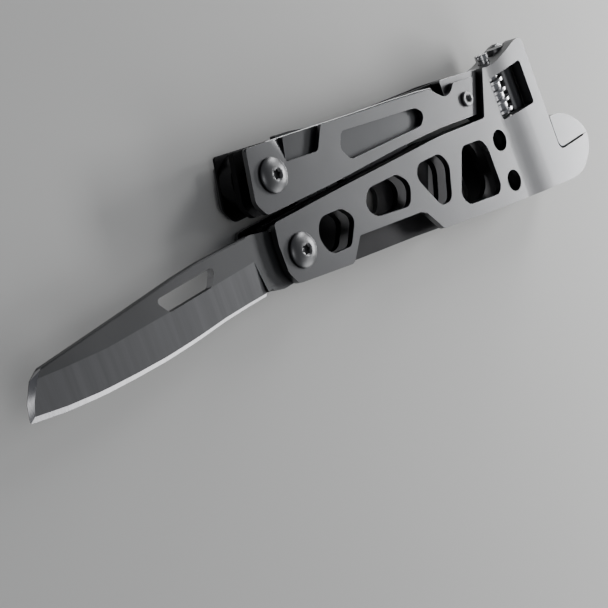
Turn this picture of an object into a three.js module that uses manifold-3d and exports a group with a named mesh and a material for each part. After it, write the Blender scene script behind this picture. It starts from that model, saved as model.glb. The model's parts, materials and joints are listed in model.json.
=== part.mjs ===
// Folding hand tool: a slim adjustable wrench whose handle holds a knife, and a second handle
// that closes over a pair of needle nose pliers. It lies flat with its near face up, the wrench
// head toward +X and the second handle toward +Y. Lengths are in millimetres.
import * as THREE from "three";
import { mergeVertices } from "three/addons/utils/BufferGeometryUtils.js";
import { ConvexGeometry } from "three/addons/geometries/ConvexGeometry.js";
import Module from "manifold-3d";

const wasm = await Module();
wasm.setup();

// ---------- driving dimensions, measured from the lower pivot on the near face ----------
const PIVOT_GAP = 19.36; // lower pivot to upper pivot
const RIVET = [17, PIVOT_GAP / 2]; // plier joint, midway between the handles
const LOWER = [0, 0];
const UPPER = [0, PIVOT_GAP];
const END_SCREW = [78.5, 11.9]; // far end of the second handle
const REAR_SCREW = [94.5, -9]; // holds the rear plate to the wrench head
const LINER_SCREWS = [[30, 6.7], [72, 4.4]]; // hold the knife's liner to the web
const BARREL_R = 2.95; // pivot barrels
const PIVOT_HOLE = 3.05;

// heights through the thickness, top of each layer and its thickness
const NEAR_WALL = [0, 1.7];
const KNIFE = [-2.1, 2.1];
const SECOND_WALL = [-4.6, 1.7];
const RAISED = 0.7; // the head stands this much above the handle
const HEAD = [RAISED, 8.4 + RAISED];
const PLIERS = [-6.7, 4.2];
const REAR_PLATE = [-11.8, 1.4];
const UPPER_PLATE = [0, 1.4];
const SAW = [-1.65, 1.8];
const END_BLOCK = [-1.6, 2.9];
const INNER_PLATE = [-11.2, 0.6];
const OUTER_REAR = [-12.0, 1.2];
const DRIVER = [-6.6, 1.8];

const WORM_AXIS = [97.2, -4.8]; // x and z of the worm
const WORM_PITCH = 2.88;
const WORM_OUTER = 3.7;
const WORM_ROOT = 2.6;
const WORM_Y = 7.4; // middle of its length
const WORM_LENGTH = 11.2;
const STEM_X = 103.9; // the jaw's stem runs along Y beside the worm
const STEM_R = 2.6;

// ---------- helpers ----------
const STEEL = {
  black: { color: 0x4a4d50, roughness: 0.42, metalness: 0.9 },
  blade: { color: 0x6b6e70, roughness: 0.34, metalness: 1.0 },
  bright: { color: 0xc4c6c8, roughness: 0.22, metalness: 1.0 },
  screw: { color: 0x35373a, roughness: 0.3, metalness: 0.95 },
  brass: { color: 0xb08d4f, roughness: 0.35, metalness: 1.0 },
};
const group = new THREE.Group();
group.name = "multi_tool";

function solid(geometry) {
  const g = geometry.index ? geometry.toNonIndexed() : geometry.clone();
  const bare = new THREE.BufferGeometry();
  bare.setAttribute("position", g.getAttribute("position"));
  const merged = mergeVertices(bare, 1e-4);
  return new wasm.Manifold(
    new wasm.Mesh({
      numProp: 3,
      vertProperties: merged.attributes.position.array,
      triVerts: new Uint32Array(merged.index.array),
    }),
  );
}

// adds a solid to the group as one named mesh
function part(name, body, look) {
  const m = body.getMesh();
  const v = new Float32Array(m.numVert * 3);
  for (let i = 0; i < m.numVert; i++)
    v.set(m.vertProperties.subarray(i * m.numProp, i * m.numProp + 3), i * 3);
  const g = new THREE.BufferGeometry();
  g.setAttribute("position", new THREE.BufferAttribute(v, 3));
  g.setIndex(new THREE.BufferAttribute(m.triVerts, 1));
  const flat = g.toNonIndexed();
  flat.computeVertexNormals();
  const mesh = new THREE.Mesh(flat, new THREE.MeshStandardMaterial(STEEL[look]));
  mesh.name = name;
  group.add(mesh);
  return body;
}

// rounds each corner given as [x, y, radius]; a corner without a radius stays sharp
function rounded(corners, steps = 5) {
  const out = [];
  const n = corners.length;
  corners.forEach(([x, y, r = 0], i) => {
    const here = new THREE.Vector2(x, y);
    if (!r) return out.push(here);
    const before = new THREE.Vector2(...corners[(i + n - 1) % n].slice(0, 2)).sub(here);
    const after = new THREE.Vector2(...corners[(i + 1) % n].slice(0, 2)).sub(here);
    const half = Math.abs(before.angleTo(after)) / 2;
    const reach = Math.min(r / Math.tan(half), before.length() * 0.48, after.length() * 0.48);
    const radius = reach * Math.tan(half);
    const a = before.normalize().multiplyScalar(reach).add(here);
    const b = after.normalize().multiplyScalar(reach).add(here);
    const toCentre = a.clone().add(b).multiplyScalar(0.5).sub(here);
    const centre = here.clone().add(toCentre.setLength(radius / Math.sin(half)));
    const from = a.clone().sub(centre).angle();
    let turn = b.clone().sub(centre).angle() - from;
    if (turn > Math.PI) turn -= 2 * Math.PI;
    if (turn < -Math.PI) turn += 2 * Math.PI;
    for (let k = 0; k <= steps; k++) {
      const t = from + (turn * k) / steps;
      out.push(new THREE.Vector2(centre.x + radius * Math.cos(t), centre.y + radius * Math.sin(t)));
    }
  });
  return out;
}

// a smooth line through a few points
function smooth(points, steps) {
  const line = new THREE.SplineCurve(points.map(([x, y]) => new THREE.Vector2(x, y)));
  return line.getPoints(steps).map((p) => [p.x, p.y]);
}

// a flat plate of the given outline, its upper face at top
function plate(corners, [top, thickness], steps) {
  const line = rounded(corners, steps);
  if (THREE.ShapeUtils.area(line) < 0) line.reverse();
  const shape = new THREE.Shape(line);
  const g = new THREE.ExtrudeGeometry(shape, { depth: thickness, bevelEnabled: false });
  return solid(g.translate(0, 0, top - thickness));
}

function disc([x, y], radius, [top, thickness], sides = 24) {
  const g = new THREE.CylinderGeometry(radius, radius, thickness, sides);
  return solid(g.rotateX(Math.PI / 2).translate(x, y, top - thickness / 2));
}

function block(x0, x1, y0, y1, z0, z1) {
  const g = new THREE.BoxGeometry(x1 - x0, y1 - y0, z1 - z0);
  return solid(g.translate((x0 + x1) / 2, (y0 + y1) / 2, (z0 + z1) / 2));
}

// a round bar along Y
function bar(x, z, radius, y0, y1, sides = 24) {
  const g = new THREE.CylinderGeometry(radius, radius, y1 - y0, sides);
  return solid(g.translate(x, (y0 + y1) / 2, z));
}

// turns a profile of [radius, height] about a vertical axis at x, y
function turned([x, y], profile, sides = 24) {
  const points = profile.map(([r, h]) => new THREE.Vector2(r, h));
  const g = new THREE.LatheGeometry(points, sides);
  return solid(g.rotateX(Math.PI / 2).translate(x, y, 0));
}

function cutThrough(body, at, radius, sides = 20) {
  return body.subtract(disc(at, radius, [20, 60], sides));
}

const OVER = 0.5; // how far a cutter runs past the face it cuts
const through = ([top, thickness]) => [top + OVER, thickness + 2 * OVER];

// ---------- outlines of the wrench handle ----------
const wallLeft = [[-6.7, 4], [-6.9, -3, 3], [-4.9, -6.6, 2]];
const wallTop = [[83.25, 5.1], [82.5, 4.9], [63, 6.9, 150], [45, 7.5, 150], [20, 8.5, 150], [-5.5, 9.2, 1]];
const recessWall = [[89.8, 17.2], [83.25, 5.1]];
const bellyFromHead = [[92, -21.25], [80, -19.7], [70, -18], [60, -16.4]];
// the near wall is cut away below the shut knife's thumb hole
const cutAway = [
  [51.7, -15.1, 1.5], [47.2, -8.9, 1.5], [45, -7.9], [20.6, -4.5, 1], [15.6, -9.4, 1], [14.5, -9.7],
];
const nearOutline = [
  [92, 16.5], ...recessWall, ...wallTop.slice(1), ...wallLeft, ...cutAway.slice().reverse(),
  ...bellyFromHead.slice().reverse(),
];
const linerOfKnife = [
  [89.6, 1.4], [86.4, 4.6], ...wallTop.slice(1), ...wallLeft, [14.5, -9.7], [45, -14],
  ...bellyFromHead.slice(1).reverse(), [89.6, -20.7],
];
const handleHoles = [
  [[6.5, 0.4, 4.5], [9.4, 4.8, 3.6], [17.8, 3.9, 3.2], [21.3, 0.2, 2.4], [16.4, -5.7, 2.2], [8.7, -4.9, 4]],
  [[26, 0.6, 5], [28.8, 4.8, 4.4], [41.4, 4.1, 3.6], [45.4, 0.2, 4], [42.2, -5.1, 3], [28.8, -2.8, 4.4]],
  [[48.1, 0.4, 3], [50.4, 3.5, 3], [60, 3, 3.2], [62.6, -0.8, 4], [58.4, -9.8, 2.8], [53.7, -9.6, 3]],
  [[69.7, 1.4, 2.6], [78.6, 0.3, 3], [80.1, -3, 3], [80.1, -15.9, 3], [64.7, -13.5, 2.8], [62.5, -10.4, 2.6]],
];
// the same openings in the second wall have rounder ends
const softer = (hole) => hole.map(([x, y, r]) => [x, y, r * 1.7]);
const roundHoles = [[86.1, -2.8], [86.15, -14.65]];
const ROUND_HOLE_R = 3;

// ---------- wrench head ----------
const JAW_SEAM = -14.55;
const nose = smooth([
  [124.95, -14.25], [124.7, -16], [123.5, -18.5], [121, -21], [117.5, -23], [114, -23.7], [110, -23.5],
  [102, -22.5], [95, -21.7],
], 28);
const headOutline = [
  [88.6, 15], [89.8, 17.2], ...smooth([[91, 16.8], [95, 16.9], [100, 18], [106, 19.7]], 8), [108.6, 20, 1.2],
  [110, 19, 1], [110, JAW_SEAM, 2.2], [122.6, JAW_SEAM], [123, -14.25], ...nose, [89.9, -20.95], [89.9, 1.6],
  [86.6, 5], [83.6, 5.7],
];
const wormWindow = [[90.6, 1.5, 1], [105.8, 1.5, 1], [105.8, 14.3, 1], [90.6, 13.4, 1]];

let frame = plate(nearOutline, NEAR_WALL).add(plate(headOutline, HEAD));
// the head's near face rises from the handle in a soft ramp
const rampLine = [
  [80, 0], [89.5, 0], ...smooth([[91, 0.03], [93, 0.17], [96, 0.45], [98.7, 0.62], [102, RAISED]], 10),
  [102, 2], [80, 2],
];
const ramp = new THREE.ExtrudeGeometry(
  new THREE.Shape(rampLine.map(([x, z]) => new THREE.Vector2(x, z))), { depth: 60, bevelEnabled: false });
frame = frame.subtract(solid(ramp.rotateX(Math.PI / 2).translate(0, 30, 0)));
// a web along the top edge spaces the liner from the near wall above the knife slot
const WEB_INSET = 0.15; // how far it stays below the wall's own edge
const webUnderside = [[9, 6], [48, 4.4], [63, 3.6], [82, 1.8], [90.5, 1.8]];
const webTop = wallTop.slice(1, 5).map(([x, y]) => [x, y - WEB_INSET]);
const web = [...webUnderside, [90.5, 5.6], ...webTop, [9, 8.6]];
frame = frame.add(plate(web, [-1.2, 3.1]));
for (const hole of handleHoles) frame = frame.subtract(plate(hole, [1, 4]));
for (const at of roundHoles) frame = cutThrough(frame, at, ROUND_HOLE_R);
frame = cutThrough(frame, LOWER, PIVOT_HOLE);
for (const at of LINER_SCREWS) frame = frame.subtract(disc(at, 1, [-2, 3], 12));
// the worm's window is wide in the near face, and only as wide as the worm in the rear face
const rearWindow = [[90.6, 1.5, 1], [101.1, 1.5], [101.1, 13.9], [90.6, 13.4, 1]];
frame = frame
  .subtract(plate(wormWindow, [1, -WORM_AXIS[1] + 1]))
  .subtract(plate(rearWindow, [-1, 8]));
// channel for the jaw's stem, open at the top and along the guide face
const CHANNEL_R = STEM_R + 0.3;
const NECK = 1; // half thickness of the web between stem and jaw
frame = frame
  .subtract(bar(STEM_X, WORM_AXIS[1], CHANNEL_R, JAW_SEAM, 23))
  .subtract(block(STEM_X, 111, JAW_SEAM, 23, WORM_AXIS[1] - NECK - 0.3, WORM_AXIS[1] + NECK + 0.3))
  .subtract(block(99.9, STEM_X, JAW_SEAM, 23, WORM_AXIS[1] - 1.8, WORM_AXIS[1] + 1.8));
// bores for the worm pin and the rear screw
const PIN_R = 1.5;
frame = frame
  .subtract(bar(...WORM_AXIS, PIN_R + 0.2, -3.2, 23, 16))
  .subtract(disc(REAR_SCREW, 1.5, [-3.6, 6], 16));
// blind seats for the knife's stop pin, in the facing sides of the two walls
const STOP_PIN = [-3.6, 7.2];
frame = frame.subtract(disc(STOP_PIN, 1.15, [-0.9, 4.7], 12));
part("wrench_frame", frame, "black");

// ---------- the liner behind the knife, held to the frame by two countersunk screws ----------
let knifeLiner = plate(linerOfKnife, SECOND_WALL);
for (const hole of handleHoles) knifeLiner = knifeLiner.subtract(plate(softer(hole), through(SECOND_WALL)));
for (const at of roundHoles) knifeLiner = cutThrough(knifeLiner, at, ROUND_HOLE_R);
knifeLiner = cutThrough(knifeLiner, LOWER, PIVOT_HOLE).subtract(disc(STOP_PIN, 1.15, [-4.2, 1.4], 12));
const sunk = [[0, -6.4], [2.05, -6.4], [1.05, -5.3], [1.05, -4], [0, -4]];
for (const at of LINER_SCREWS) knifeLiner = knifeLiner.subtract(turned(at, sunk, 16));
part("knife_liner", knifeLiner, "black");
LINER_SCREWS.forEach((at, i) => {
  const flatHead = turned(at, [[0, -6.3], [1.75, -6.3], [0.75, -5.2], [0.75, -2.4], [0, -2.4]], 16);
  part(`liner_screw_${i + 1}`, flatHead.subtract(disc(at, 0.6, [-5.8, 1], 6)), "screw");
});

// ---------- movable jaw with its rack ----------
const jawBack = smooth([
  [124.95, -14.1], [124.5, -12.5], [123, -10.25], [120, -7.5], [117, -5.75], [113.5, -4.6], [110.3, -4.4],
], 16);
const jawOutline = [[110.3, -13.95, 2], [122.6, -13.95], [123, -14.1], ...jawBack];
const STEM_END = 19.5; // just proud of the top of the head
let jaw = plate(jawOutline, HEAD)
  .add(bar(STEM_X, WORM_AXIS[1], STEM_R, -14, STEM_END))
  .add(block(STEM_X, 111, -12, -4.6, WORM_AXIS[1] - NECK, WORM_AXIS[1] + NECK));
// rack teeth lean by the worm's lead angle and sit halfway between its threads
const LEAD_ANGLE = Math.atan(WORM_PITCH / (2 * Math.PI * 3.3));
const TOOTH_TIP_X = WORM_AXIS[0] + WORM_ROOT + 0.35;
const TOOTH_BASE_X = WORM_AXIS[0] + WORM_OUTER + 0.3;
for (let k = -7; k <= 0; k++) {
  const y = WORM_Y + WORM_PITCH * (k + 0.75) - 1.44;
  const side = new THREE.Shape([
    new THREE.Vector2(TOOTH_TIP_X, -0.35), new THREE.Vector2(TOOTH_BASE_X, -0.75),
    new THREE.Vector2(STEM_X, -0.75), new THREE.Vector2(STEM_X, 0.75),
    new THREE.Vector2(TOOTH_BASE_X, 0.75), new THREE.Vector2(TOOTH_TIP_X, 0.35),
  ]);
  const g = new THREE.ExtrudeGeometry(side, { depth: 2.6, bevelEnabled: false });
  g.translate(0, 0, -1.3).rotateX(LEAD_ANGLE).translate(0, y, WORM_AXIS[1]);
  jaw = jaw.add(solid(g));
}
part("movable_jaw", jaw, "black");

// ---------- worm: a right-handed thread wound along Y ----------
function thread() {
  const AROUND = 24;
  const crest = 0.4 / WORM_PITCH; // half widths as parts of one pitch
  const foot = 0.75 / WORM_PITCH;
  const steps = [[-foot, WORM_ROOT], [-crest, WORM_OUTER], [crest, WORM_OUTER], [foot, WORM_ROOT]];
  const turns = Math.ceil(WORM_LENGTH / WORM_PITCH) + 3;
  const v = [];
  for (let j = 0; j < AROUND; j++)
    for (let k = 0; k < turns; k++)
      for (const [u, r] of steps) {
        const a = (2 * Math.PI * j) / AROUND;
        const y = WORM_PITCH * (k - turns / 2 + u + j / AROUND);
        v.push(r * Math.sin(a), y, r * Math.cos(a));
      }
  const rows = turns * 4;
  const at = (i, j) => (j < AROUND ? j * rows + i : i + 4); // after one turn the rows move up by one pitch
  const faces = [];
  for (let j = 0; j < AROUND; j++)
    for (let i = 0; i < rows - (j === AROUND - 1 ? 5 : 1); i++)
      faces.push(at(i, j), at(i, j + 1), at(i + 1, j + 1), at(i, j), at(i + 1, j + 1), at(i + 1, j));
  // the last column meets the first one pitch higher, so each end closes on a stepped rim
  const low = [], high = [];
  for (let j = 0; j < AROUND; j++) low.push(at(0, j));
  for (let i = 4; i > 0; i--) low.push(at(i, 0));
  for (let j = 0; j < AROUND; j++) high.push(at(rows - 1, j));
  for (let i = rows - 5; i < rows - 1; i++) high.push(at(i, AROUND - 1));
  high.splice(AROUND, high.length);
  for (let i = rows - 2; i > rows - 6; i--) high.push(at(i, AROUND - 1));
  v.push(0, -WORM_PITCH * (turns / 2 + 1), 0, 0, WORM_PITCH * (turns / 2 + 2), 0);
  const bottom = v.length / 3 - 2, top = v.length / 3 - 1;
  low.forEach((p, i) => faces.push(p, bottom, low[(i + 1) % low.length]));
  high.forEach((p, i) => faces.push(p, high[(i + 1) % high.length], top));
  const g = new THREE.BufferGeometry();
  g.setAttribute("position", new THREE.Float32BufferAttribute(v, 3));
  g.setIndex(faces);
  return solid(g);
}
const wormSpace = bar(0, 0, WORM_OUTER + 1, -WORM_LENGTH / 2, WORM_LENGTH / 2);
const wormBody = thread()
  .intersect(wormSpace)
  .subtract(bar(0, 0, PIN_R + 0.3, -WORM_LENGTH, WORM_LENGTH, 16))
  .translate([WORM_AXIS[0], WORM_Y, WORM_AXIS[1]]);
part("worm", wormBody, "bright");
// the worm turns on a slotted pin whose head stands on top of the wrench head
const wormPin = bar(...WORM_AXIS, PIN_R, -3, 18, 16)
  .add(bar(...WORM_AXIS, 1.9, 18.2, 19.7, 20).add(bar(...WORM_AXIS, PIN_R, 17.5, 19, 16)))
  .subtract(block(90, 100, 19, 21, WORM_AXIS[1] - 0.3, WORM_AXIS[1] + 0.3));
part("worm_pin", wormPin, "bright");

// ---------- knife ----------
const spine = [[-12.5, 9.35], [-29.9, 9.95], [-38.2, 9.75], [-55, 8.75], [-68, 8.05], [-81.4, 7.35]];
const grind = [[-12.5, 3.2], [-38.2, 3.25], [-63.4, 3.7], [-76, 4.9], [-84, 5.9]];
const edge = [
  [-12.5, -5.75], [-20, -5.6], [-28.1, -5.6], [-38.2, -6.05], [-48.3, -6.15], [-58.4, -5.75], [-68.4, -5.1],
  [-78.5, -3.85], [-88.3, -2],
];
const front = [
  [-81.4, 7.35], [-83.2, 6.75], [-84.6, 5.8], [-86, 4.3], [-86.9, 2.8], [-87.7, 0.6], [-88.2, -1.5],
];
const [knifeTop, knifeThick] = KNIFE;
const knifeMid = knifeTop - knifeThick / 2;

// the value at one coordinate of a line of points, given where to read and which column runs along it
function along(line, at, column) {
  const other = 1 - column;
  const rising = line[line.length - 1][column] > line[0][column];
  const points = rising ? line : line.slice().reverse();
  let i = 1;
  while (i < points.length - 1 && points[i][column] < at) i++;
  const [p, q] = [points[i - 1], points[i]];
  const t = THREE.MathUtils.clamp((at - p[column]) / (q[column] - p[column]), 0, 1);
  return p[other] + t * (q[other] - p[other]);
}
// rows run from the spine to the edge: where each lies between the lines, and its half thickness
const bevelWidth = (x) => 0.6 - 0.007 * x; // the edge bevel widens toward the tip
const rows = [
  [(x) => along(spine, x, 0), 0.8], [(x) => along(spine, x, 0) - 0.3, 1.05],
  [(x) => along(grind, x, 0), 1.05],
  [(x) => (along(grind, x, 0) + along(edge, x, 0)) / 2, 0.74],
  [(x) => along(edge, x, 0) + bevelWidth(x), 0.43], [(x) => along(edge, x, 0), 0.03],
];
const PLUNGE_X = -13.6;
const STATIONS = 26;
function bladeSolid() {
  const v = [], faces = [];
  for (const side of [1, -1])
    rows.forEach(([line, half], row) => {
      // where this row meets the blunt front
      let tip = -86;
      for (let k = 0; k < 30; k++) tip = along(front, line(tip), 1);
      const y = line(tip);
      for (let i = 0; i <= STATIONS; i++) {
        const inner = tip + [0.4, 0.7, 1.5, 1.5, 1.2, 0.7][row];
        const x = i === STATIONS ? tip : PLUNGE_X + ((inner - PLUNGE_X) * i) / (STATIONS - 1);
        const thin = i === STATIONS ? 0.03 + 0.02 * (5 - row) : half;
        v.push(x, i === STATIONS ? y : line(x), knifeMid + side * Math.min(thin, half));
      }
    });
  const per = STATIONS + 1, sheetSize = per * rows.length;
  const at = (s, row, i) => s * sheetSize + row * per + i;
  const quad = (a, b, c, d) => faces.push(a, b, c, a, c, d);
  for (let row = 0; row < rows.length - 1; row++)
    for (let i = 0; i < STATIONS; i++) {
      quad(at(0, row, i), at(0, row, i + 1), at(0, row + 1, i + 1), at(0, row + 1, i));
      quad(at(1, row, i), at(1, row + 1, i), at(1, row + 1, i + 1), at(1, row, i + 1));
    }
  const last = rows.length - 1;
  for (let i = 0; i < STATIONS; i++) {
    quad(at(0, 0, i), at(1, 0, i), at(1, 0, i + 1), at(0, 0, i + 1));
    quad(at(0, last, i), at(0, last, i + 1), at(1, last, i + 1), at(1, last, i));
  }
  for (let row = 0; row < last; row++) {
    quad(at(0, row, 0), at(0, row + 1, 0), at(1, row + 1, 0), at(1, row, 0));
    quad(at(0, row, STATIONS), at(1, row, STATIONS), at(1, row + 1, STATIONS), at(0, row + 1, STATIONS));
  }
  const g = new THREE.BufferGeometry();
  g.setAttribute("position", new THREE.Float32BufferAttribute(v, 3));
  g.setIndex(faces);
  return solid(g);
}
const tangOutline = [
  [-14.2, 3.1], [-13.4, -4.2], [-13.2, -5.3, 0.4], [-12.2, -4.5, 0.6], [-10.8, -5.6, 1.5], [-8, -6.3],
  [-4, -6.3], [1, -6.2], [4.4, -4.4], [6.1, -1], [5.8, 2], [4, 4.8], [1, 5.9], [-3, 5.6], [-5.2, 6.2, 1],
  [-6.6, 8], [-12.5, 9.3], [-14, 9.35],
];
const thumbHole = [[-46.6, 7.3, 0.9], [-43.4, 3.2, 1], [-29.2, 3.2, 1], [-26, 7.3, 0.9]];
let knife = bladeSolid().add(plate(tangOutline, KNIFE)).subtract(plate(thumbHole, through(KNIFE)));
knife = cutThrough(knife, LOWER, PIVOT_HOLE);
part("knife_blade", knife, "blade");

function washer(name, at, outer, layer) {
  part(name, disc(at, outer, layer).subtract(disc(at, PIVOT_HOLE, through(layer))), "brass");
}
washer("knife_washer_near", LOWER, 5.4, [-1.75, 0.3]);
washer("knife_washer_far", LOWER, 5.4, [-4.25, 0.3]);
part("knife_stop_pin", disc(STOP_PIN, 1, [-1.0, 4.4], 12), "screw");

// ---------- pivot screws and their barrels ----------
function torx(at, top, depth) {
  const lobes = [];
  for (let i = 0; i < 24; i++) {
    const r = 1.18 + 0.19 * Math.cos((i * Math.PI) / 2);
    lobes.push([r * Math.cos((i * Math.PI) / 12), r * Math.sin((i * Math.PI) / 12)]);
  }
  return plate(lobes, [top, depth]).translate([at[0], at[1], 0]);
}
const HEAD_TOP = 1.7;
const headProfile = [
  [0, 0.05], [4.3, 0.05], [4.4, 0.15], [4.4, 0.45], [4.25, 0.7], [3.75, 1.05], [3, 1.35], [2.1, 1.58],
  [1.2, HEAD_TOP - 0.02], [0, HEAD_TOP],
];
function pivotScrew(name, at) {
  const shank = disc(at, 1.5, [0.3, 6.3], 16);
  const mouth = turned(at, [[0, 1.3], [1.35, 1.3], [1.75, 1.72], [1.75, 3], [0, 3]]);
  part(name, turned(at, headProfile, 32).add(shank).subtract(torx(at, 3, 2.5)).subtract(mouth), "screw");
}
function pivotBarrel(name, at, rear) {
  const flange = [[0, -1.3], [3.6, -1.1], [4.3, -0.6], [4.3, -0.05], [0, -0.05]];
  const body = turned(at, flange.map(([r, h]) => [r, h + rear]))
    .add(disc(at, BARREL_R, [-0.15, -rear], 24))
    .subtract(disc(at, 1.75, [1, 8], 16))
    .subtract(torx(at, rear - 0.5, 1.5));
  part(name, body, "screw");
}
pivotScrew("lower_pivot_screw", LOWER);
pivotScrew("upper_pivot_screw", UPPER);
pivotBarrel("lower_pivot_barrel", LOWER, -13.2);
pivotBarrel("upper_pivot_barrel", UPPER, -13.2);

// ---------- rear plate of the wrench handle ----------
const rearOutline = [
  [-7.2, 3], [-7.2, -3, 3], [-4.9, -6.6, 2], [14.5, -9.7], [45, -14], [60, -16.4], [80, -19.7],
  [92, -21.2, 2], [101, -16, 4], [99, -2, 4], [86.5, 3, 2], [63, 6.4], [45, 7.3], [20, 8.4],
  [-7.2, 8.95, 1.6],
];
let rear = plate(rearOutline, REAR_PLATE);
for (const hole of [1, 3]) rear = rear.subtract(plate(handleHoles[hole], through(REAR_PLATE)));
rear = cutThrough(cutThrough(rear, LOWER, PIVOT_HOLE), REAR_SCREW, 1.5);
part("lower_rear_plate", rear, "black");
const spacerLayer = [-8.45, 3.3];
part("lower_rear_spacer",
  disc(REAR_SCREW, 3, spacerLayer).subtract(disc(REAR_SCREW, 1.5, through(spacerLayer), 16)), "screw");
const rearScrew = turned(REAR_SCREW, [[0, -14.9], [1.6, -14.8], [2.4, -14.2], [2.4, -13.25], [0, -13.25]], 20)
  .add(disc(REAR_SCREW, 1.25, [-4, 9.6], 16))
  .subtract(disc(REAR_SCREW, 1, [-14.1, 2], 6));
part("lower_rear_screw", rearScrew, "screw");
washer("lower_tang_washer_near", LOWER, 5.4, [-6.35, 0.3]);
washer("lower_tang_washer_far", LOWER, 5.4, [-10.95, 0.8]);

// ---------- pliers, folded between the handles ----------
const TANG_R = 7.4;
const JOINT_R = 5.5;
const MID = -8.8; // the two joint discs meet here
// one half drawn with its tang at the lower pivot and its jaw above the centre line
const armOutline = [
  [-1, 5.9], [4.5, 8.6, 3], [11.6, 9.2], [21, 14.5, 2], [24, 15.3], [34, 13.9], [46, 12.7], [57.6, 11.9, 1],
  [58, 9.85], [22.6, 9.85], [20, 6.5, 3], [12, 3.6, 2], [4, -4.5], [0, -5.9],
];
const jointNear = [PLIERS[0], PLIERS[0] - MID - 0.05];
const jointFar = [MID - 0.05, PLIERS[1] - (PLIERS[0] - MID) - 0.05];
function plierHalf(own, other) {
  let half = plate(armOutline, PLIERS).add(disc(LOWER, TANG_R, PLIERS));
  half = half.subtract(disc(RIVET, JOINT_R + 0.4, [other[0] + 0.1, other[1] + 0.2]));
  half = half.add(disc(RIVET, JOINT_R, own));
  // cutting edges near the joint are parted by a small relief
  half = half.subtract(disc([28, RIVET[1] + 0.2], 1.6, through(PLIERS), 16));
  return cutThrough(cutThrough(half, LOWER, PIVOT_HOLE), RIVET, 2.15);
}
const gripTeeth = (body, sign) => {
  for (let x = 40; x < 56; x += 1.6) {
    const tooth = [[x - 0.5, RIVET[1] - sign], [x, RIVET[1] + sign * 0.75], [x + 0.5, RIVET[1] - sign]];
    body = body.subtract(plate(tooth, through(PLIERS)));
  }
  return body;
};
part("plier_half_lower", gripTeeth(plierHalf(jointNear, jointFar), 1), "black");
// the other half is the same shape turned over about the centre line
const turnOver = (body) => body.mirror([0, 1, 0]).translate([0, PIVOT_GAP, 0]);
part("plier_half_upper", gripTeeth(turnOver(plierHalf(jointFar, jointNear)), -1), "black");
part("plier_rivet", disc(RIVET, 1.95, PLIERS), "screw");

// ---------- second handle ----------
const fingerNotch = smooth(
  [[76, 17.5], [75.2, 17.2], [73.6, 15.9], [71.5, 15.3], [69.4, 15.8], [67.2, 17.5], [65, 19.1]], 18);
const plateOutline = [
  [-6.4, 11.6, 2], [10, 10.8], [20, 10.3], [45, 9.75, 150], [63, 8.75, 150], [78.6, 7, 0.6], [84.2, 16.4],
  ...fingerNotch, [50, 21.1], [35, 22.8], [21.6, 24.6, 0.6], [17.4, 19.2, 1.6], [5.8, 20.7, 0.4],
  [7.75, 26.45], [-5.2, 28, 0.8], [-8.7, 15.3, 3],
];
const slot = [
  [25.1, 17, 2], [27.4, 13.3, 2], [57.2, 11.7, 2.4], [60.2, 14.2, 2.4], [57.4, 16.7, 2.4], [27.6, 20.8, 2],
];
let nearPlate = plate(plateOutline, UPPER_PLATE).subtract(plate(slot, through(UPPER_PLATE)));
// a slanted facet runs down into the thumb notch from its left
const facet = [
  [2.2, 28, 0], [5.8, 21.1, 0], [8.2, 28, -1.75], [2.2, 28, 1], [5.8, 21.1, 1], [8.2, 28, 1],
];
nearPlate = nearPlate.subtract(solid(new ConvexGeometry(facet.map((p) => new THREE.Vector3(...p)))));
nearPlate = cutThrough(cutThrough(nearPlate, UPPER, PIVOT_HOLE), END_SCREW, 1.5);
part("upper_near_plate", nearPlate, "black");

const slantEnd = [[82.6, 6.3, 0.5], [88.9, 17.4]];
const linerOutline = [
  [-6.4, 11.6, 2], [20, 10.4], [45, 9.85], [63, 8.9], ...slantEnd, [75, 19.2], [50, 21], [21, 24.5],
  [-5.2, 28, 0.8], [-8.7, 15.3, 3],
];
const inHandle = (outline, layer) =>
  cutThrough(cutThrough(plate(outline, layer), UPPER, PIVOT_HOLE), END_SCREW, 1.5);
part("upper_liner", inHandle(linerOutline, SECOND_WALL), "black");
part("upper_inner_plate", inHandle(linerOutline, INNER_PLATE), "black");
const outerOutline = [
  [-6.4, 12.2, 2], [20, 11], [45, 10.3], [63, 9.4], ...slantEnd, [75, 18.6], [50, 20.2], [21, 23.4],
  [-5, 25.4, 1], [-8.2, 16, 3],
];
const outerRear = inHandle(outerOutline, OUTER_REAR).subtract(plate(slot, through(OUTER_REAR)));
part("upper_rear_plate", outerRear, "black");
const blockOutline = [[72.3, 8.2], ...slantEnd, [85, 18], [75, 19.3], [72.3, 19.6, 0.6]];
part("upper_end_block", cutThrough(plate(blockOutline, END_BLOCK), END_SCREW, 1.5), "black");

const tubeLayer = [-6.35, 4.8];
const endTube = disc(END_SCREW, 3, tubeLayer).subtract(disc(END_SCREW, 1.5, through(tubeLayer), 16));
part("upper_end_spacer", endTube, "screw");
const capHead = [[0, 0.05], [2.1, 0.05], [2.1, 0.55], [1.85, 0.85], [0, 0.85]];
const capMouth = [[0, 0.6], [1.05, 0.6], [1.4, 0.9], [1.4, 2], [0, 2]];
const capScrew = turned(END_SCREW, capHead, 20)
  .add(disc(END_SCREW, 1.25, [0.3, 14.2], 16))
  .subtract(disc(END_SCREW, 1.05, [2, 2], 6))
  .subtract(turned(END_SCREW, capMouth, 20));
part("upper_end_screw", capScrew, "screw");
const nutLayer = [-13.25, 1.5];
part("upper_end_nut",
  disc(END_SCREW, 2.6, nutLayer, 6).subtract(disc(END_SCREW, 1.5, [-12, 2.2], 16)), "screw");

washer("saw_washer_near", UPPER, 4.6, [-1.42, 0.2]);
washer("saw_washer_far", UPPER, 4.6, [-3.5, 1.05]);
washer("upper_tang_washer_near", UPPER, 5.4, [-6.35, 0.3]);
washer("upper_tang_washer_far", UPPER, 5.4, [-10.95, 0.2]);

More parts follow.
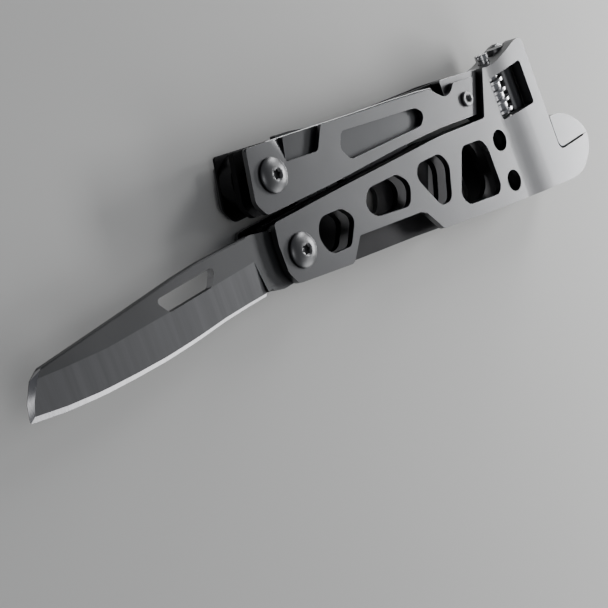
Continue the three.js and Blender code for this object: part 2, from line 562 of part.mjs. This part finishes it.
// ---------- saw blade on the upper pivot ----------
const sawBack = [
  [67.6, 14, 1], [68.3, 19, 0.8], [62.5, 19.95], [50, 21.55], [35, 23.2], [21.4, 24.9], [3.2, 27.1, 0.8],
  [0.4, 24], [-1.5, 23.9], [-4.4, 21], [-4.6, 17.5], [-2.3, 15], [3, 14.2], [8, 11.6],
];
const teeth = [];
for (let x = 12; x < 63; x += 2.2) {
  const line = 11.7 - (x - 12) * 0.028;
  teeth.push([x, line], [x + 1.1, line + 0.9]);
}
part("saw_blade", cutThrough(plate([...teeth, ...sawBack], SAW), UPPER, PIVOT_HOLE), "blade");

// ---------- flat driver, folded above the pliers and turning on the end spacer ----------
const driverOutline = [
  [78.5, 8, 3.4], [82.6, 9.5, 3], [82.4, 15.6, 3], [72, 19.2], [50, 21.2], [24, 24.4], [17, 25.9],
  [12, 26.5, 0.4], [11.8, 25.2, 0.3], [15, 22.4], [22, 20.2], [58, 16.2], [70, 11.6],
];
part("flat_driver", cutThrough(plate(driverOutline, DRIVER), END_SCREW, 3.15), "blade");

// ---------- the part's own frame: centred over its box, standing on z = 0 ----------
const box = new THREE.Box3().setFromObject(group);
const middle = box.getCenter(new THREE.Vector3());
group.position.set(-middle.x, -middle.y, -box.min.z);

export default group;
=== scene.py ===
import json
import math
import bpy
import bmesh
from mathutils import Matrix, Vector


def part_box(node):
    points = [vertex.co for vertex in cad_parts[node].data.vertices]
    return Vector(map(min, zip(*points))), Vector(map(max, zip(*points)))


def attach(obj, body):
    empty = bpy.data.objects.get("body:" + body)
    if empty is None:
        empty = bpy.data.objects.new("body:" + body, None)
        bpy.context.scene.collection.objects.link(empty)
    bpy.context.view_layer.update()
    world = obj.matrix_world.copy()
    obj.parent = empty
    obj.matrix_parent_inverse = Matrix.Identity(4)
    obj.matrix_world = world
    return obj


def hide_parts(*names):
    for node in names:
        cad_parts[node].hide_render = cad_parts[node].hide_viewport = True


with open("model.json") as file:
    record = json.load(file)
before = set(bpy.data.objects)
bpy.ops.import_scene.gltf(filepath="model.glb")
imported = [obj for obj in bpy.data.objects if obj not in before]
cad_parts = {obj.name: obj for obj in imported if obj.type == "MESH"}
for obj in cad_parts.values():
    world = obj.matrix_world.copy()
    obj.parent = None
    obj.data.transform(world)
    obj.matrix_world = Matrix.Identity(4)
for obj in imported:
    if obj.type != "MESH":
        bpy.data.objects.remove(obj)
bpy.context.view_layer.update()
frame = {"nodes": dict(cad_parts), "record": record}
MM = 0.001

# the design's own origin, the lower pivot on the near face, found from that pivot's screw
HEAD_RISE = 1.7  # the screw's head stands this much above the near face, in millimetres
low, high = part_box("lower_pivot_screw")
ORIGIN = Vector(((low.x + high.x) / 2, (low.y + high.y) / 2, high.z - HEAD_RISE * MM))


def place(x, y, z=0.0):
    """A point given in millimetres from the lower pivot, in the scene's metres."""
    return ORIGIN + Vector((x, y, z)) * MM


# ---------- camera: the photograph's viewpoint ----------
LENS, SENSOR = 100.66, 36  # millimetres
CLIP_NEAR, CLIP_FAR = 0.01, 20  # metres
EYE = place(-280.98, 72.95, 284.31)
TO_THE_RIGHT = (0.6144, -0.3615, 0.7013)
TO_THE_BACK = (-0.6798, 0.2087, 0.7031)

camera_data = bpy.data.cameras.new("camera")
camera_data.lens = LENS
camera_data.sensor_width = SENSOR
camera_data.clip_start = CLIP_NEAR
camera_data.clip_end = CLIP_FAR
camera = bpy.data.objects.new("camera", camera_data)
bpy.context.scene.collection.objects.link(camera)
bpy.context.scene.camera = camera
right = Vector(TO_THE_RIGHT).normalized()
back = Vector(TO_THE_BACK)
back = (back - right * back.dot(right)).normalized()
up = back.cross(right)
camera.matrix_world = Matrix((
    (right.x, up.x, back.x, EYE.x),
    (right.y, up.y, back.y, EYE.y),
    (right.z, up.z, back.z, EYE.z),
    (0, 0, 0, 1),
))


# ---------- materials ----------
COLOUR_BAND = (0.3, 0.7)  # the part of the slow noise over which the colour drifts
GLOSS_BAND = (0.25, 0.75)  # the part of the fine noise over which the roughness drifts
RELIEF_DEPTH = 0.00003  # metres
SLOW_DETAIL, FINE_DETAIL = 3, 5  # how many finer layers each noise has


def nodes_of(name):
    """A new node material, with its node tree and its shader."""
    material = bpy.data.materials.new(name)
    material.use_nodes = True
    tree = material.node_tree
    return material, tree, tree.nodes["Principled BSDF"]


def ramp(tree, source, band, first, last):
    """A colour or a number that goes from first to last as the source crosses the band."""
    made = tree.nodes.new("ShaderNodeValToRGB")
    for element, at, value in zip(made.color_ramp.elements, band, (first, last)):
        element.position = at
        element.color = (*value, 1) if isinstance(value, tuple) else (value, value, value, 1)
    tree.links.new(source, made.inputs[0])
    return made.outputs[0]


def noise(tree, scale, detail, stretch):
    """Noise in the object's own space, so that it stays on the metal."""
    coordinates = tree.nodes.new("ShaderNodeTexCoord")
    mapping = tree.nodes.new("ShaderNodeMapping")
    mapping.inputs["Scale"].default_value = stretch
    texture = tree.nodes.new("ShaderNodeTexNoise")
    texture.inputs["Scale"].default_value = scale
    texture.inputs["Detail"].default_value = detail
    tree.links.new(coordinates.outputs["Object"], mapping.inputs[0])
    tree.links.new(mapping.outputs[0], texture.inputs[0])
    return texture.outputs["Fac"]


def bump(tree, source, shader, strength):
    """Relief that follows the source."""
    made = tree.nodes.new("ShaderNodeBump")
    made.inputs["Strength"].default_value = strength
    made.inputs["Distance"].default_value = RELIEF_DEPTH
    tree.links.new(source, made.inputs["Height"])
    tree.links.new(made.outputs[0], shader.inputs["Normal"])


EVEN = (1, 1, 1)
ACROSS = (1, 0.04, 0.04)  # streaks that run across a blade, as a grinding wheel leaves them
ALONG = (0.1, 1, 1)  # streaks that run the length of the tool


def metal(name, dark, light, rough, grain, stretch=EVEN, relief=0.12, drift=45, drift_stretch=EVEN):
    """Metal whose colour drifts between dark and light, with a fine grain in its gloss and relief."""
    material, tree, shader = nodes_of(name)
    shader.inputs["Metallic"].default_value = 1.0
    patches = noise(tree, drift, SLOW_DETAIL, drift_stretch)
    tree.links.new(ramp(tree, patches, COLOUR_BAND, dark, light), shader.inputs["Base Color"])
    fine = noise(tree, grain, FINE_DETAIL, stretch)
    tree.links.new(ramp(tree, fine, GLOSS_BAND, *rough), shader.inputs["Roughness"])
    bump(tree, fine, shader, relief)
    return material


BLACK = metal("black_oxide", (0.084, 0.085, 0.088), (0.1, 0.101, 0.104), (0.28, 0.32), 2600, relief=0.18)
# the rounded edges: lighter for real wear, and lighter still as a painted highlight standing in for
# light catching every edge
WORN_AND_HIGHLIT = metal("worn_and_highlit_edge", (0.26, 0.261, 0.264), (0.5, 0.501, 0.505), (0.32, 0.42), 1400)
GRIND = metal("blade_grind", (0.082, 0.083, 0.086), (0.1, 0.101, 0.105), (0.44, 0.52), 2400, ACROSS,
              relief=0.25, drift=420, drift_stretch=ACROSS)
# the blade's flats: a darker tone of their own, lowered further as a painted shadow of the near wall on
# the tang
FLAT_AND_SHADE = metal("blade_flat_and_shade", (0.062, 0.063, 0.065), (0.074, 0.075, 0.077), (0.42, 0.48), 2000)
EDGE = metal("blade_edge", (0.3, 0.3, 0.31), (0.4, 0.4, 0.41), (0.2, 0.3), 1800, ACROSS)
BRIGHT = metal("bright_steel", (0.42, 0.42, 0.43), (0.52, 0.52, 0.53), (0.2, 0.3), 900, ALONG)
SCREW = metal("dark_screw", (0.12, 0.121, 0.124), (0.15, 0.151, 0.154), (0.34, 0.42), 1800)
# near-black oxide for the covered plates and inward faces: painted shade where the light doesn't reach
INNER_SHADE = metal("inner_painted_shade", (0.01, 0.01, 0.011), (0.016, 0.016, 0.017), (0.48, 0.56), 1600)
# the pliers' black oxide, painted darker than the frame's as shade for the covered gap between the
# handles
PLIER_OXIDE_AND_SHADE = metal("plier_oxide_and_shade", (0.02, 0.02, 0.021), (0.032, 0.032, 0.034), (0.28, 0.36), 1800)
SAW = metal("saw_steel", (0.04, 0.041, 0.043), (0.05, 0.051, 0.053), (0.3, 0.38), 2200, ACROSS)
BRONZE = metal("bronze", (0.2, 0.14, 0.08), (0.26, 0.18, 0.1), (0.3, 0.45), 900)

# each look is a pair: the faces, then the rounded edges
LOOKS = {
    "black_steel": (BLACK, WORN_AND_HIGHLIT),
    "blade_steel": (FLAT_AND_SHADE, EDGE),
    "bright_steel": (BRIGHT, EDGE),
    "screw_steel": (SCREW, WORN_AND_HIGHLIT),
    "bronze": (BRONZE, BRONZE),
}
# nodes that differ from the rest of their slot: the covered plates get a near-black painted shade
OWN_LOOK = {
    "knife_liner": (INNER_SHADE, INNER_SHADE),
    "upper_liner": (INNER_SHADE, INNER_SHADE),
    "upper_inner_plate": (INNER_SHADE, INNER_SHADE),
    "saw_blade": (SAW, WORN_AND_HIGHLIT),
    "flat_driver": (SAW, WORN_AND_HIGHLIT),
    "plier_rivet": (PLIER_OXIDE_AND_SHADE, PLIER_OXIDE_AND_SHADE),
    "plier_half_lower": (PLIER_OXIDE_AND_SHADE, SCREW),
    "plier_half_upper": (PLIER_OXIDE_AND_SHADE, SCREW),
}
REAR_PLATES = {"lower_rear_plate", "upper_rear_plate"}  # their inward faces get that painted shade too
SLOT_OF = {p["node"]: p["material_slot"] for p in frame["record"]["subparts"]}
BODY_OF = {n: b for b, members in frame["record"]["behaviour"]["bodies"].items() for n in members}


# ---------- every part: a copy of its CAD solid, with eased edges ----------
WELD = 2e-6  # metres: points closer than this are one point
ONE_PLANE = math.radians(0.5)  # faces that meet at less than this are one face
FOLDED = 140  # degrees: an edge turned further than this is left alone
THINNEST = 0.8  # a face narrower than this share of the rounding keeps its edges sharp
INWARD = 0.9  # a rear plate's face whose normal points up by more than this is an inward face
TINY = 1e-9  # metres, so that nothing is divided by zero
EASE_STEPS = 2  # facets across a rounding
FACES, ROUNDINGS, INWARD_FACES = 0, 1, 2  # the places of a piece's materials


def new_piece(node, mesh):
    """A new object for a node, in the scene."""
    piece = bpy.data.objects.new(node + "_finished", mesh)
    bpy.context.scene.collection.objects.link(piece)
    return piece


def stand_for(piece, node):
    """The piece takes the node's place and body."""
    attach(piece, BODY_OF[node])
    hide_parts(node)


def mean_width(face):
    """How wide a long thin face is."""
    return face.calc_area() / max(face.calc_perimeter() / 2, TINY)


def eased(node, width, sharp):
    """A copy of a CAD solid with its flat faces rejoined and its sharp edges rounded over.

    The rounding's width is in millimetres, and edges that turn by more than sharp degrees get it.
    """
    mesh = frame["nodes"][node].data.copy()
    work = bmesh.new()
    work.from_mesh(mesh)
    bmesh.ops.remove_doubles(work, verts=work.verts, dist=WELD)
    bmesh.ops.dissolve_limit(work, angle_limit=ONE_PLANE, verts=work.verts, edges=work.edges)
    weight = work.edges.layers.float.new("bevel_weight_edge")
    for edge in work.edges:
        if len(edge.link_faces) != 2:
            continue
        turn = math.degrees(edge.calc_face_angle(0))
        # an edge thinner than the rounding, such as a cutting edge, stays sharp
        thin = min(mean_width(face) for face in edge.link_faces)
        edge[weight] = 1.0 if sharp < turn < FOLDED and thin > width * MM * THINNEST else 0.0
    work.to_mesh(mesh)
    work.free()
    mesh.materials.clear()
    for look in OWN_LOOK.get(node, LOOKS[SLOT_OF[node]]):
        mesh.materials.append(look)
    for polygon in mesh.polygons:
        polygon.material_index = FACES
        polygon.use_smooth = True
    piece = new_piece(node, mesh)
    ease = piece.modifiers.new("ease", "BEVEL")
    ease.width = width * MM
    ease.segments = EASE_STEPS
    ease.limit_method = "WEIGHT"
    # the rounded edges take the look's second material, mostly the lighter edge with its painted
    # highlight
    ease.material = ROUNDINGS
    ease.use_clamp_overlap = True
    ease.miter_outer = "MITER_ARC"
    flat = piece.modifiers.new("normals", "WEIGHTED_NORMAL")
    flat.keep_sharp = True
    triangles = piece.modifiers.new("triangles", "TRIANGULATE")
    triangles.keep_custom_normals = True
    bpy.context.view_layer.objects.active = piece
    for modifier in list(piece.modifiers):
        with bpy.context.temp_override(object=piece, active_object=piece, selected_objects=[piece]):
            bpy.ops.object.modifier_apply(modifier=modifier.name)
    # a rear plate's inward faces take the painted shade
    if node in REAR_PLATES:
        mesh.materials.append(INNER_SHADE)
        for polygon in mesh.polygons:
            if polygon.normal.z > INWARD:
                polygon.material_index = INWARD_FACES
    stand_for(piece, node)


# the knife's zones, by how far a face tilts from flat, in degrees
GRIND_TILT = 1.2
EDGE_TILT = 12
WALL_TILT = 75
TANG_END = place(-13.5, 0).x  # the ground zones lie beyond this, towards the tip
HOLE_START, HOLE_END = place(-47, 0).x, place(-25, 0).x  # the thumb hole lies between these
SPINE_RISE, SPINE_LEAN = 0.2, -0.3  # a spine face's normal has more y and more x than these
END_WALL_LEAN = 0.3  # a wall at the thumb hole's ends has a normal with more x than this, either way; these walls take the bright edge steel as a painted highlight


BLADE_LOOKS = (FLAT_AND_SHADE, GRIND, EDGE)
FLAT_ZONE, GRIND_ZONE, EDGE_ZONE = 0, 1, 2  # their places


def blade_zone(face):
    """The place of a knife face's material."""
    tilt = math.degrees(math.acos(min(1, abs(face.normal.z))))
    x = face.calc_center_median().x
    # the tang takes the flat look, which carries the painted shadow of the near wall
    if x >= TANG_END:
        return FLAT_ZONE
    if GRIND_TILT < tilt < EDGE_TILT:
        return GRIND_ZONE
    on_spine = face.normal.y > SPINE_RISE and face.normal.x > SPINE_LEAN
    if EDGE_TILT <= tilt < WALL_TILT and not on_spine:
        return EDGE_ZONE
    # the thumb hole's end walls take the bright edge steel: a painted highlight where the light catches
    # them
    if tilt >= WALL_TILT and HOLE_START < x < HOLE_END and abs(face.normal.x) > END_WALL_LEAN:
        return EDGE_ZONE
    return FLAT_ZONE


def ground_blade(node):
    """The knife, with each ground zone smooth in itself and crisp where it meets the next."""
    mesh = frame["nodes"][node].data.copy()
    mesh.materials.clear()
    for look in BLADE_LOOKS:
        mesh.materials.append(look)
    work = bmesh.new()
    work.from_mesh(mesh)
    bmesh.ops.remove_doubles(work, verts=work.verts, dist=WELD)
    work.normal_update()
    for face in work.faces:
        face.material_index = blade_zone(face)
        face.smooth = True
    for edge in work.edges:
        a, b = edge.link_faces
        one_zone = a.material_index == b.material_index
        edge.smooth = one_zone and edge.calc_face_angle(0) < math.radians(EDGE_TILT)
    work.to_mesh(mesh)
    work.free()
    stand_for(new_piece(node, mesh), node)


# the width of the rounding, in millimetres, where it isn't the usual one
USUAL_EASE = 0.12
EASE = {
    "wrench_frame": 0.28,
    "movable_jaw": 0.25,
    "upper_near_plate": 0.25,
    "lower_pivot_screw": 0.05,
    "upper_pivot_screw": 0.05,
    "upper_end_screw": 0.06,
}
# degrees: an edge that turns further than this is rounded over, and on a dome, further than the second
SHARP, DOME_SHARP = 28, 50
DOMED = {"lower_pivot_screw", "upper_pivot_screw"}
for node in frame["nodes"]:
    if node == "knife_blade":
        ground_blade(node)
    else:
        eased(node, EASE.get(node, USUAL_EASE), DOME_SHARP if node in DOMED else SHARP)


# ---------- floor and light ----------
FLOOR_REACH = 3  # metres each way
corners = [(-1, -1), (1, -1), (1, 1), (-1, 1)]
floor_mesh = bpy.data.meshes.new("floor")
floor_mesh.from_pydata([(x * FLOOR_REACH, y * FLOOR_REACH, 0) for x, y in corners], [], [(0, 1, 2, 3)])
floor = bpy.data.objects.new("floor", floor_mesh)
bpy.context.scene.collection.objects.link(floor)
pale, _, pale_shader = nodes_of("pale_floor")
pale_shader.inputs["Base Color"].default_value = (0.53, 0.53, 0.52, 1)
pale_shader.inputs["Roughness"].default_value = 0.8
floor_mesh.materials.append(pale)

world = bpy.data.worlds.new("studio")
world.use_nodes = True
background = world.node_tree.nodes["Background"]
background.inputs["Color"].default_value = (0.9, 0.93, 1, 1)
background.inputs["Strength"].default_value = 0.19
bpy.context.scene.world = world


def softbox(name, spot, aim, width, height, power):
    """A soft rectangular light at spot that faces aim: metres and watts."""
    data = bpy.data.lights.new(name, "AREA")
    data.shape = "RECTANGLE"
    data.size = width
    data.size_y = height
    data.energy = power
    lamp = bpy.data.objects.new(name, data)
    bpy.context.scene.collection.objects.link(lamp)
    lamp.location = spot
    lamp.visible_camera = False
    lamp.rotation_euler = (spot - aim).to_track_quat("Z", "Y").to_euler()


# the key shines off the wrench head, and the fill off the handles' near faces
softbox("key", place(404, -60, 158), place(130, -5), 0.18, 0.05, 1.3)
softbox("fill", place(466, -78, 398), place(25, 8), 0.5, 0.09, 0.26)
# the edge light picks out the edges on the second handle's side, the bevel light the cutting edge
softbox("edge", place(400, 235, 168), place(40, 5), 0.12, 0.3, 1.2)
softbox("bevel", place(240, -365, 195), place(-50, -5), 0.3, 0.3, 1.0)
# the front light is for the knife's tip
softbox("front", place(-200, 0, 300), place(-88, 0), 0.15, 0.15, 0.15)
